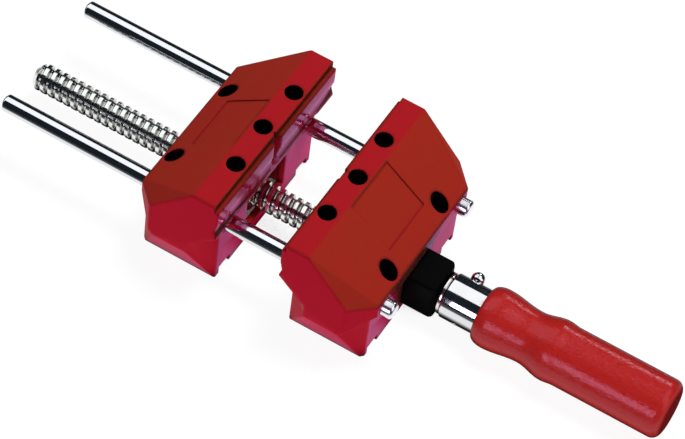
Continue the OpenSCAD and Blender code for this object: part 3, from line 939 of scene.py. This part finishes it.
@dataclass
class GuideRods:
    """Two plated bars with their retaining rings."""

    chamfer: float = 0.9
    edge: float = 0.35
    turned_l: float = 8.0
    ring_edge: float = 0.12

    def bar(self, side: str) -> bpy.types.Object:
        """Turn one bar with chamfered ends.

        Args:
            side: which bar, near or far.

        Returns:
            The bar.
        """
        low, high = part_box("guide_rod_" + side)
        r, length = (high.y - low.y) / 2 / MM, (high.x - low.x) / MM
        c = self.chamfer
        corners = [(0.0, CORE), (0.0, r - c), (c, r), (length - self.turned_l, r), (length - c, r),
                   (length, r - c), (length, CORE)]
        mesh = lathe("bar", softened(corners, self.edge))
        middle = centre("guide_rod_" + side)
        start = Vector((low.x, middle.y, middle.z))
        return piece_object(f"guide_rod_{side}_bar", placed(mesh, start))

    def dull_end(self, bar: bpy.types.Object, finish: bpy.types.Material) -> None:
        """Give the turned end beyond the fixed jaw its own finish.

        Args:
            bar: one bar.
            finish: material of the end.
        """
        bar.data.materials.append(finish)
        last = max(vertex.co.x for vertex in bar.data.vertices)
        for face in bar.data.polygons:
            if face.center.x > last - self.turned_l * MM:
                face.material_index = 1

    def dress(self, bar_finish: bpy.types.Material, end_finish: bpy.types.Material,
              ring_finish: bpy.types.Material) -> None:
        """Give bars and rings their finish and their place in the frame.

        Args:
            bar_finish: material of the bars.
            end_finish: material of their turned ends.
            ring_finish: material of the rings.
        """
        for side in ("near", "far"):
            bar = dress(self.bar(side), bar_finish, Body.BASE, Slot.ROD, "guide_rod_" + side)
            self.dull_end(bar, end_finish)
            node = "rod_rings_" + side
            rings = piece_object(node + "_pair", rounded_copy(node, 0.0, self.ring_edge, 2))
            even_normals(dress(rings, ring_finish, Body.BASE, Slot.RING, node))


@dataclass
class Screws:
    """A pattern of like cap screws, heads towards one side."""

    node: str
    body: Body
    across: float
    up: float
    rows: int
    shank: float
    turned: bool
    head_d: float = 5.4
    head_t: float = 2.0
    shank_d: float = 3.0
    socket: float = 2.5
    socket_deep: float = 1.2
    edge: float = 0.3
    rim_share: float = 1.5
    sides: int = 36

    def template(self) -> bpy.types.Object:
        """Turn one screw along +X, with its head before the origin and a six-sided socket.

        Returns:
            The screw that the pattern repeats.
        """
        flat = self.socket / 2

        def six(angle: float) -> float:
            """Distance of a six-sided socket's wall from its axis."""
            return flat / math.cos((angle + math.pi / 6) % (math.pi / 3) - math.pi / 6)

        head, shank, top = self.head_d / 2, self.shank_d / 2, -self.head_t
        outer = softened([(top, flat * self.rim_share), (top, head), (0.0, head), (0.0, shank),
                          (self.shank, shank), (self.shank, self.edge)], self.edge)
        floor = ring(top + self.socket_deep, six, self.sides)
        rings = [floor, ring(top, six, self.sides)]
        rings += [ring(x, lambda _, r=r: r, self.sides) for x, r in outer]
        return piece_object("screw_template", skin("screw_template", rings))

    def build(self, tree: bpy.types.NodeTree, finish: bpy.types.Material) -> bpy.types.Object:
        """Set the pattern.

        Args:
            tree: tree that sets a pattern of screws.
            finish: material of the screws.

        Returns:
            All the screws as one piece.
        """
        low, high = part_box(self.node)
        seat = high.x - self.head_t * MM if self.turned else low.x + self.head_t * MM
        middle = centre(self.node)
        template = self.template()
        mesh = run_tree(self.node + "_set", tree, {
            "Screw": template, "Across": self.across * MM, "Up": self.up * MM, "Rows": self.rows,
            "Place": (seat, middle.y, middle.z), "Finish": finish,
            "Turn": Euler((0, 0, math.pi if self.turned else 0))})
        bpy.data.objects.remove(template)
        return piece_object(self.node + "_set", mesh)

    def dress(self, tree: bpy.types.NodeTree, finish: bpy.types.Material) -> None:
        """Give the screws their finish and their place in the frame."""
        dress(self.build(tree, finish), finish, self.body, Slot.ZINC, self.node)


@dataclass
class Bearing:
    """Black block that the journal turns in."""

    edge: float = 0.4
    rim: float = 0.2

    def dress(self, finish: bpy.types.Material) -> None:
        """Round the block's edges, then give it its finish and its place in the frame."""
        block = piece_object("bearing_block_body",
                             rounded_copy("bearing_block", self.edge, self.rim))
        even_normals(dress(block, finish, Body.BASE, Slot.BLOCK, "bearing_block"))


@dataclass
class SpindleNut:
    """Flanged nut in the sliding jaw."""

    edge: float = 0.4
    rim: float = 0.3

    def dress(self, finish: bpy.types.Material) -> None:
        """Round the nut's edges, then give it its finish and its place in the frame."""
        nut = piece_object("spindle_nut_body", rounded_copy("spindle_nut", self.edge, self.rim))
        even_normals(dress(nut, finish, Body.MOVING_JAW, Slot.ZINC, "spindle_nut"))


@dataclass
class Spindle:
    """Screw spindle with a coarse rolled thread, its washers, its ferrule and its pin."""

    pitch: float = 4.0
    thread_d: float = 13.0
    root_d: float = 9.9
    tip_chamfer: float = 2.4
    journal_d: float = 10.0
    journal_l: float = 86.0
    journal_lap: float = 1.0
    journal_sides: int = 64
    bore_play: float = 0.04
    rows_per_turn: int = 14
    sides: int = 60
    washer_edge: float = 0.3
    ferrule_chamfer: float = 0.8
    ferrule_sides: int = 128
    pin_d: float = 4.0
    pin_edge: float = 0.25
    pin_crown: float = 0.1
    pin_head_d: float = 6.4
    pin_lift: float = 0.7
    pin_turn: float = 56.0
    ball_neck: float = 140.0
    ball_steps: int = 20
    crease: float = 60.0

    def axis(self) -> float:
        """Height of the spindle's axis in metres."""
        return centre("spindle").z

    def screw(self, tree: bpy.types.NodeTree, finish: bpy.types.Material) -> bpy.types.Object:
        """Wind the thread and add the plain journal.

        Args:
            tree: tree that winds a thread.
            finish: material of the thread.

        Returns:
            The spindle.
        """
        low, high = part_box("spindle")
        length = high.x - low.x - self.journal_l * MM
        turns = math.ceil(length / (self.pitch * MM)) + 1
        crest = self.thread_d / 2
        thread = run_tree("thread", tree, {
            "Length": length, "Pitch": self.pitch * MM, "Crest Radius": crest * MM,
            "Root Radius": self.root_d / 2 * MM, "Tip Radius": (crest - self.tip_chamfer) * MM,
            "Turns": turns, "Rows": turns * self.rows_per_turn + 1, "Sides": self.sides,
            "Place": (low.x, 0.0, self.axis()), "Finish": finish})
        r, start, end = self.journal_d / 2, -self.journal_lap, self.journal_l
        corners = [(start, CORE), (start, r), (end, r), (end, CORE)]
        bar = lathe("journal", corners, self.journal_sides)
        journal = placed(bar, Vector((low.x + length, 0, self.axis())))
        return piece_object("spindle_screw", joined("spindle_screw", [thread, journal]))

    def washer(self, node: str) -> bpy.types.Object:
        """Turn one flat washer.

        Args:
            node: node that it stands for.

        Returns:
            The washer.
        """
        low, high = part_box(node)
        thick, r = (high.x - low.x) / MM, (high.y - low.y) / 2 / MM
        bore = self.journal_d / 2 + self.bore_play
        corners = [(0.0, bore), (0.0, r), (thick, r), (thick, bore)]
        mesh = lathe("washer", softened(corners, self.washer_edge, loop=True), loop=True)
        return piece_object(node + "_disc", placed(mesh, Vector((low.x, 0, self.axis()))))

    def ferrule(self) -> bpy.types.Object:
        """Turn the bright sleeve between the washer and the handle.

        Returns:
            The sleeve.
        """
        low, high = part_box("ferrule")
        length, r = (high.x - low.x) / MM, (high.y - low.y) / 2 / MM
        bore, c = self.journal_d / 2 + self.bore_play, self.ferrule_chamfer
        corners = [(0.0, bore), (0.0, r - c), (c, r), (length, r), (length, bore)]
        outline = softened(corners, self.washer_edge, loop=True)
        mesh = lathe("ferrule", outline, self.ferrule_sides, loop=True)
        return piece_object("ferrule_sleeve", placed(mesh, Vector((low.x, 0, self.axis()))))

    def pin(self) -> bpy.types.Object:
        """Turn the cross pin with its ball head and lay it through the ferrule.

        Returns:
            The pin.
        """
        low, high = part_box("ferrule")
        reach, ball, r = (high.y - low.y) / 2 / MM, self.pin_head_d / 2, self.pin_d / 2
        shaft = [(-reach - self.pin_crown, CORE), (-reach, r), (reach - ball / 2, r)]
        neck, middle = math.radians(self.ball_neck), reach + self.pin_lift
        bends = [neck * (1 - step / self.ball_steps) for step in range(self.ball_steps)]
        head = [(middle + ball * math.cos(bend), ball * math.sin(bend)) for bend in bends]
        mesh = lathe("pin", softened(shaft, self.pin_edge) + head, self.journal_sides)
        a = math.radians(self.pin_turn)
        along = Vector((0, math.sin(a), math.cos(a)))
        spot = Vector((centre("ferrule_pin").x, 0, self.axis()))
        turn = Vector((1, 0, 0)).rotation_difference(along).to_matrix().to_4x4()
        return piece_object("ferrule_pin_ball", placed(mesh, spot, turn))

    def dress(self, tree: bpy.types.NodeTree, zinc: bpy.types.Material,
              bright: bpy.types.Material) -> None:
        """Give spindle, washers, ferrule and pin their finish and their place in the frame.

        Args:
            tree: tree that winds a thread.
            zinc: material of spindle and washers.
            bright: material of ferrule and pin.
        """
        screw = self.screw(tree, zinc)
        dress(screw, zinc, Body.SCREW, Slot.ZINC, "spindle", crease=self.crease)
        for node in ("inner_washer", "thrust_washer"):
            dress(self.washer(node), zinc, Body.SCREW, Slot.ZINC, node)
        dress(self.ferrule(), bright, Body.SCREW, Slot.FERRULE, "ferrule")
        dress(self.pin(), bright, Body.SCREW, Slot.FERRULE, "ferrule_pin")


@dataclass
class Handle:
    """Turned handle: a bell at the ferrule, a waist, a collar and a long grip."""

    mouth_d: float = 21.08
    rim: float = 0.6
    bell_d: float = 27.6
    bell_l: float = 6.0
    waist_d: float = 24.0
    waist_at: float = 22.5
    swell_d: float = 28.2
    swell_at: float = 34.6
    grip_d: float = 27.0
    nose: float = 4.0
    end_ring: float = 3.0
    core: float = 0.5
    bore_r: float = 5.04
    bore_deep: float = 9.0
    steps: int = 16
    sides: int = 112
    crease: float = 50.0

    def sweep(self, x0: float, d0: float, x1: float, d1: float) -> Profile:
        """Ease from one diameter to another.

        Args:
            x0: first station.
            d0: first diameter.
            x1: last station.
            d1: last diameter.

        Returns:
            Points after the first station.
        """
        line = []
        for t in [i / self.steps for i in range(1, self.steps + 1)]:
            eased = (1 - math.cos(math.pi * t)) / 2
            line.append((x0 + (x1 - x0) * t, (d0 + (d1 - d0) * eased) / 2))
        return line

    def profile(self, length: float) -> Profile:
        """Outline of the handle from inside its mouth to its free end.

        Args:
            length: length of the handle.

        Returns:
            Stations and radii.
        """
        mouth, r = self.mouth_d / 2, self.grip_d / 2
        lip = mouth + self.rim
        swell = self.bell_d / 2 - lip
        quarter = [math.pi / 2 * i / self.steps for i in range(self.steps + 1)]
        line = [(self.bore_deep, self.bore_r), (self.bore_deep, mouth), (0.0, mouth)]
        line += [(self.bell_l * (1 - math.cos(a)), lip + swell * math.sin(a)) for a in quarter]
        line += self.sweep(self.bell_l, self.bell_d, self.waist_at, self.waist_d)
        line += self.sweep(self.waist_at, self.waist_d, self.swell_at, self.swell_d)
        line += self.sweep(self.swell_at, self.swell_d, self.swell_at + self.bell_l, self.grip_d)
        line += [(length - self.nose * (1 - math.sin(a)), r - self.nose * (1 - math.cos(a)))
                 for a in quarter]
        return line + [(length, r - self.nose - self.end_ring), (length, self.core)]

    def dress(self, finish: bpy.types.Material) -> None:
        """Turn the handle, then give it its finish and its place in the frame.

        Args:
            finish: material of the handle.
        """
        low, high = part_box("handle")
        mesh = lathe("handle", self.profile((high.x - low.x) / MM), self.sides)
        grip = piece_object("handle_grip", placed(mesh, Vector((low.x, 0, centre("handle").z))))
        dress(grip, finish, Body.SCREW, Slot.HANDLE, "handle", crease=self.crease)


@dataclass
class PhotoCamera:
    """Camera at the photograph's place, fitted to the vise's own edges."""

    from_face: tuple[float, float, float] = (362.05, -800.5, 1183.1)
    right: tuple[float, float, float] = (0.85493, 0.51109, 0.08889)
    up: tuple[float, float, float] = (-0.45620, 0.65914, 0.59788)
    lens: float = 179.49
    sensor: float = 36.0
    sight: float = 50.0

    def build(self) -> None:
        """Make the camera and look through it."""
        data = bpy.data.cameras.new("photo_camera")
        data.lens, data.sensor_width, data.sensor_fit = self.lens, self.sensor, "HORIZONTAL"
        data.clip_end = self.sight
        camera = bpy.data.objects.new("photo_camera", data)
        bpy.context.scene.collection.objects.link(camera)
        right = Vector(self.right).normalized()
        back = right.cross(Vector(self.up)).normalized()
        up = back.cross(right)
        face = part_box("front_jaw")[0].x
        spot = Vector(self.from_face) * MM + Vector((face, 0, 0))
        turned = Matrix((right, up, back)).transposed().to_4x4()
        camera.matrix_world = Matrix.Translation(spot) @ turned
        bpy.context.scene.camera = camera


@dataclass(frozen=True)
class Lamp:
    """Flat lamp, in metres, that shines on one spot with an even brightness."""

    name: str
    size: tuple[float, float]
    place: tuple[float, float, float]
    spot: tuple[float, float, float]
    brightness: float
    tint: str = "#ffffff"

    def build(self) -> bpy.types.Object:
        """Hang the lamp.

        Returns:
            The lamp.
        """
        data = bpy.data.lights.new(self.name, "AREA")
        data.shape = "RECTANGLE"
        data.color = linear(self.tint)[:3]
        data.size, data.size_y = self.size
        data.energy = math.pi * data.size * data.size_y * self.brightness
        hung = bpy.data.objects.new(self.name, data)
        hung.location = self.place
        aim = Vector(self.spot) - Vector(self.place)
        hung.rotation_euler = aim.to_track_quat("-Z", "Y").to_euler()
        bpy.context.scene.collection.objects.link(hung)
        return hung


@dataclass
class Studio:
    """White sheet in a dim room, soft boxes that bright faces mirror, and a key lamp."""

    boxes: tuple[Lamp, ...] = (
        Lamp("top_box", (1.1, 1.56), (-0.66, 0.35, 1.25), (-0.66, 0.35, 0.0), 1.3),
        Lamp("fore_box", (1.1, 1.56), (0.66, 0.35, 1.25), (0.66, 0.35, 0.0), 1.3),
        Lamp("aft_end_box", (1.0, 1.5), (-1.6, 0.0, 0.85), (0.0, 0.0, 0.0), 1.3),
        Lamp("fore_end_box", (1.0, 1.5), (1.6, 0.0, 0.85), (0.0, 0.0, 0.0), 1.3),
        Lamp("front_box", (0.5, 0.44), (0.0, -1.09, 0.38), (0.06, 0.0, 0.02), 5.0, "#f4e8ff"),
        Lamp("back_box", (0.28, 0.2), (0.04, 1.05, 0.56), (0.12, 0.0, 0.02), 7.0))
    key: Lamp = Lamp("key_lamp", (0.5, 0.5), (0.22, 0.32, 1.5), (0.0, 0.0, 0.0), 24.0)
    floor_half: float = 4.0
    floor_gap_mm: float = 0.1
    fill: float = 0.1
    room: str = "#1b2228"
    bounce: float = 1.5
    sheet_shown: float = 0.94
    paper: float = 0.1
    shadow_mm: float = 60.0
    shadow_open: Limits = (0.0, 0.16)
    # Lengths of a ray, and places beside the spindle, between which a part of the glow rises
    bounce_mm: Limits = (0.0, 15.0)
    far_mm: Limits = (15.0, 24.0)
    lit_mm: Limits = (92.0, 54.0)
    strip_mm: Limits = (13.0, 26.0)

    def paper_sheet(self) -> bpy.types.Material:
        """Make the sheet's material.

        Seen straight it is white, with a soft shadow close under the vise. Bright metal mirrors
        it white from near by, but dark close under the spindle. It throws light up at the vise,
        and it is clear from below and under the feet.

        Returns:
            The material.
        """
        made = bpy.data.materials.new("white_paper_sheet")
        node = partial(add_node, blank_tree(made))
        rays, sheet = node("ShaderNodeLightPath").outputs, node("ShaderNodeNewGeometry").outputs
        length = rays["Ray Length"]
        # Painted shadow: the white seen straight dims where the sheet is closed in under the vise
        covered = node("ShaderNodeAmbientOcclusion", {"Distance": self.shadow_mm * MM}, samples=16)
        clear = node(RANGE, (covered.outputs["AO"], *self.shadow_open), **SOFT)
        # Painted shadow in what bright metal mirrors: the sheet turns dark close under the spindle
        # for short rays; it also fades out beyond 54 to 92 mm
        beside = node(MATH, (node(SPLIT, (sheet["Position"],)).outputs[1],), operation="ABSOLUTE")
        aside = node(RANGE, (beside, *metres(self.strip_mm)), **SOFT)
        low, far, close = [node(RANGE, (length, *metres(limits)), **SOFT)
                           for limits in (self.bounce_mm, self.far_mm, self.lit_mm)]
        off_strip = node(MATH, (aside, far), operation="MAXIMUM")
        image = node(MATH, (close, off_strip), operation="MULTIPLY")
        mirrored = node(MATH, (image, rays["Is Glossy Ray"]), operation="MULTIPLY")
        white = node(MATH, (clear, self.sheet_shown), operation="MULTIPLY")
        straight = node(MATH, (white, rays["Is Camera Ray"]), operation="MULTIPLY")
        # Painted shade: the light that the sheet throws up dims for rays shorter than 15 mm
        lit = node(MATH, (low, self.bounce), operation="MULTIPLY")
        seen = node(MATH, (straight, mirrored), operation="ADD")
        shown = node(MATH, (rays["Is Diffuse Ray"], lit, seen), operation="MULTIPLY_ADD")
        matt = node("ShaderNodeBsdfDiffuse", {"Color": grey(self.paper)})
        glow = node("ShaderNodeEmission", {"Strength": shown})
        touching = node(MATH, (length, 2 * self.floor_gap_mm * MM), operation="LESS_THAN")
        under = node(MATH, (sheet["Backfacing"], touching), operation="MAXIMUM")
        laid = node("ShaderNodeMixShader", (
            under, node("ShaderNodeAddShader", (matt, glow)), node("ShaderNodeBsdfTransparent")))
        node(SURFACE, {"Surface": laid})
        return made

    def floor(self) -> None:
        """Lay the sheet under the vise."""
        half, below = self.floor_half, -self.floor_gap_mm * MM
        corners = [(x * half, y * half, below) for x, y in ((-1, -1), (1, -1), (1, 1), (-1, 1))]
        mesh = bpy.data.meshes.new("floor")
        mesh.from_pydata(corners, [], [(0, 1, 2, 3)])
        mesh.materials.append(self.paper_sheet())
        piece_object("floor", mesh)

    def light(self) -> None:
        """Hang the boxes that bright faces mirror and the key lamp that shades the rest."""
        for box in self.boxes:
            box.build().visible_diffuse = False
        self.key.build().visible_glossy = False

    def world(self) -> None:
        """Fill the room with even light; the view behind is white and mirrors see a dim room."""
        made = bpy.data.worlds.new("room")
        node = partial(add_node, blank_tree(made))
        rays = node("ShaderNodeLightPath").outputs
        seen = grey(self.fill)
        for ray, colour in (("Is Glossy Ray", linear(self.room)), ("Is Camera Ray", grey(1.0))):
            seen = node(MIX, {0: rays[ray], 6: seen, 7: colour}, data_type="RGBA").outputs[2]
        node("ShaderNodeOutputWorld", {"Surface": node("ShaderNodeBackground", {"Color": seen})})
        bpy.context.scene.world = made

    def build(self) -> None:
        """Set up floor, lamps and room."""
        self.floor()
        self.light()
        self.world()
        bpy.context.scene.view_settings.view_transform = "Standard"


def main() -> None:
    """Build the vise piece by piece, then its stage."""
    red, bore, black = JAW_RED.material(), BORE_DARK.material(), BLOCK_BLACK.material()
    chrome, end, bright = ROD_CHROME.material(), ROD_END.material(), FERRULE_CHROME.material()
    zinc, spring, lacquer = ZINC.material(), SPRING.material(), LACQUER.material()
    threads, patterns = thread_tree(), screw_tree()
    PhotoCamera().build()
    Jaw("front_jaw", Body.BASE).dress(red, bore)
    Jaw("rear_jaw", Body.MOVING_JAW).dress(red, bore)
    GuideRods().dress(chrome, end, spring)
    Bearing().dress(black)
    Screws("bearing_screws", Body.BASE, across=13.0, up=14.2, rows=2, shank=8.4,
           turned=False).dress(patterns, zinc)
    SpindleNut().dress(zinc)
    Screws("nut_screws", Body.MOVING_JAW, across=26.6, up=0.0, rows=1, shank=9.0,
           turned=True).dress(patterns, zinc)
    Spindle().dress(threads, zinc, bright)
    Handle().dress(lacquer)
    Studio().build()


if __name__ == "__main__":
    logging.basicConfig(level=logging.INFO, format="%(message)s")
    main()
